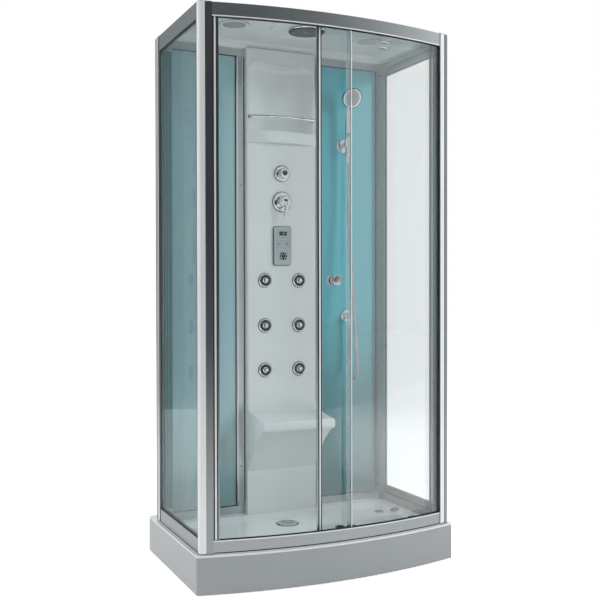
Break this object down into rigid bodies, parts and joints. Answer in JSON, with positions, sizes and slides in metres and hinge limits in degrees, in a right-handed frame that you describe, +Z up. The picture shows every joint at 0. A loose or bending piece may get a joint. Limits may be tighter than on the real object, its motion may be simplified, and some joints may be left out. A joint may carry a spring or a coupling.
{
  "type": "steam shower cabin",
  "caption": "Bow-front steam shower cabin: low tray, silver frame, sliding bowed glass door, teal back wall, column with seat, shelf, jets and controls, hand shower, rain head.",
  "frame": {"origin": "under the middle of the whole cabin, on the bathroom floor (centre of the bounding box's base)", "axes": "+Z up, the bowed front with the door faces -Y, +X to the right when looking at the front"},
  "size_m": [1.1, 0.72, 2.1775],
  "materials": {
    "satin_silver": "satin anodised extrusion",
    "white_acrylic": "polished moulded sheet",
    "silver_apron": "satin silver paint",
    "clear_glass": "clear toughened",
    "teal_panel": "gloss, backed wall panel",
    "polished_chrome": "polished plating",
    "dark_chrome": "dark plated, perforated",
    "seal": "soft clear-grey profile",
    "panel_plastic": "silver lacquer",
    "key_plastic": "satin",
    "galvanised": "zinc coated tube",
    "waste_plastic": "injection moulded",
    "boiler_case": "powder coated",
    "bare_brass": "cast and turned",
    "nylon": "turned nylon"
  },
  "bodies": {
    "cabin": {"tray_basin": "white_acrylic", "column": "white_acrylic", "roof": "white_acrylic", "fan_housing": "white_acrylic", "tray_skirt": "silver_apron", "under_frame": "galvanised", "waste_trap": "waste_plastic", "floor_jets": "polished_chrome", "towel_rail": "polished_chrome", "jet_housings": "polished_chrome", "valve_rosettes": "polished_chrome", "shower_bracket": "polished_chrome", "hose": "polished_chrome", "hose_outlet": "polished_chrome", "ceiling_fittings": "polished_chrome", "front_post_left": "satin_silver", "front_post_right": "satin_silver", "back_post_left": "satin_silver", "back_post_right": "satin_silver", "front_rail_top": "satin_silver", "front_rail_bottom": "satin_silver", "side_rail_top_left": "satin_silver", "side_rail_bottom_left": "satin_silver", "side_rail_top_right": "satin_silver", "side_rail_bottom_right": "satin_silver", "back_rail_top": "satin_silver", "back_rail_bottom": "satin_silver", "column_trims": "satin_silver", "side_glass_left": "clear_glass", "side_glass_right": "clear_glass", "front_glass": "clear_glass", "front_seals": "seal", "back_panel_left": "teal_panel", "back_panel_right": "teal_panel", "rain_head": "dark_chrome", "control_panel": "panel_plastic", "steam_generator": "boiler_case", "supply_manifold": "bare_brass"},
    "door": {"door_glass": "clear_glass", "door_profiles": "satin_silver", "door_knob": "polished_chrome", "door_carriers": "polished_chrome"},
    "left_wheel": {"wheel_left": "nylon"},
    "right_wheel": {"wheel_right": "nylon"},
    "diverter": {"diverter_knob": "polished_chrome"},
    "mixer": {"mixer_body": "polished_chrome"},
    "lever": {"mixer_lever": "polished_chrome"},
    "fan": {"fan_impeller": "white_acrylic"},
    "pad": {"nav_pad": "key_plastic"},
    "left_key": {"key_left": "key_plastic"},
    "right_key": {"key_right": "key_plastic"},
    "waste_cover": {"drain_cover": "polished_chrome"},
    "shower": {"shower_cradle": "polished_chrome", "hand_shower": "polished_chrome"},
    "jet_1": {"jet_nozzle_1": "polished_chrome"},
    "jet_2": {"jet_nozzle_2": "polished_chrome"},
    "jet_3": {"jet_nozzle_3": "polished_chrome"},
    "jet_4": {"jet_nozzle_4": "polished_chrome"},
    "jet_5": {"jet_nozzle_5": "polished_chrome"},
    "jet_6": {"jet_nozzle_6": "polished_chrome"}
  },
  "joints": [
    {"name": "door_slide", "type": "hinge", "parent": "cabin", "child": "door", "pos_m": [0, 1.74778, 1.145], "axis": [0, 0, 1], "range_deg": [-10.83, 0]},
    {"name": "left_wheel_roll", "type": "hinge", "parent": "door", "child": "left_wheel", "pos_m": [0.00017, -0.314, 2.11355], "axis": [-0.0001, 1, 0], "range_deg": [-2356, 0]},
    {"name": "right_wheel_roll", "type": "hinge", "parent": "door", "child": "right_wheel", "pos_m": [0.4045, -0.27393, 2.11355], "axis": [-0.1962, 0.9806, 0], "range_deg": [-2356, 0]},
    {"name": "jet_1_tilt", "type": "hinge", "parent": "cabin", "child": "jet_1", "pos_m": [-0.08, 0.2, 1.146], "axis": [1, 0, 0], "range_deg": [-15, 15]},
    {"name": "jet_2_tilt", "type": "hinge", "parent": "cabin", "child": "jet_2", "pos_m": [0.08, 0.2, 1.146], "axis": [1, 0, 0], "range_deg": [-15, 15]},
    {"name": "jet_3_tilt", "type": "hinge", "parent": "cabin", "child": "jet_3", "pos_m": [-0.08, 0.2, 0.952], "axis": [1, 0, 0], "range_deg": [-15, 15]},
    {"name": "jet_4_tilt", "type": "hinge", "parent": "cabin", "child": "jet_4", "pos_m": [0.08, 0.2, 0.952], "axis": [1, 0, 0], "range_deg": [-15, 15]},
    {"name": "jet_5_tilt", "type": "hinge", "parent": "cabin", "child": "jet_5", "pos_m": [-0.08, 0.2, 0.761], "axis": [1, 0, 0], "range_deg": [-15, 15]},
    {"name": "jet_6_tilt", "type": "hinge", "parent": "cabin", "child": "jet_6", "pos_m": [0.08, 0.2, 0.761], "axis": [1, 0, 0], "range_deg": [-15, 15]},
    {"name": "diverter_turn", "type": "hinge", "parent": "cabin", "child": "diverter", "pos_m": [0, 0.176, 1.608], "axis": [0, -1, 0], "range_deg": [-120, 120]},
    {"name": "mixer_swivel", "type": "hinge", "parent": "cabin", "child": "mixer", "pos_m": [0, 0.17, 1.486], "axis": [0, -1, 0], "range_deg": [-45, 45]},
    {"name": "lever_lift", "type": "hinge", "parent": "mixer", "child": "lever", "pos_m": [0, 0.1647, 1.482], "axis": [-1, 0, 0], "range_deg": [0, 25]},
    {"name": "fan_spin", "type": "hinge", "parent": "cabin", "child": "fan", "pos_m": [-0.3, -0.02, 2.168], "axis": [0, 0, 1], "continuous": true},
    {"name": "pad_press", "type": "slide", "parent": "cabin", "child": "pad", "axis": [0, 1, 0], "range_m": [0, 0.001], "stiffness_N_per_m": 400, "springref_m": -0.0005},
    {"name": "left_key_press", "type": "slide", "parent": "cabin", "child": "left_key", "axis": [0, 1, 0], "range_m": [0, 0.001], "stiffness_N_per_m": 400, "springref_m": -0.0005},
    {"name": "right_key_press", "type": "slide", "parent": "cabin", "child": "right_key", "axis": [0, 1, 0], "range_m": [0, 0.001], "stiffness_N_per_m": 400, "springref_m": -0.0005},
    {"name": "cover_lift", "type": "slide", "parent": "cabin", "child": "waste_cover", "axis": [0, 0, 1], "range_m": [0, 0.03]},
    {"name": "shower_tilt", "type": "hinge", "parent": "cabin", "child": "shower", "pos_m": [0.314, 0.205, 1.752], "axis": [1, 0, 0], "range_deg": [-8, 25], "deforming": ["hose"]}
  ],
  "couplings": [
    {"joint": "left_wheel_roll", "follows": "door_slide", "ratio": 217.03},
    {"joint": "right_wheel_roll", "follows": "door_slide", "ratio": 217.03}
  ]
}
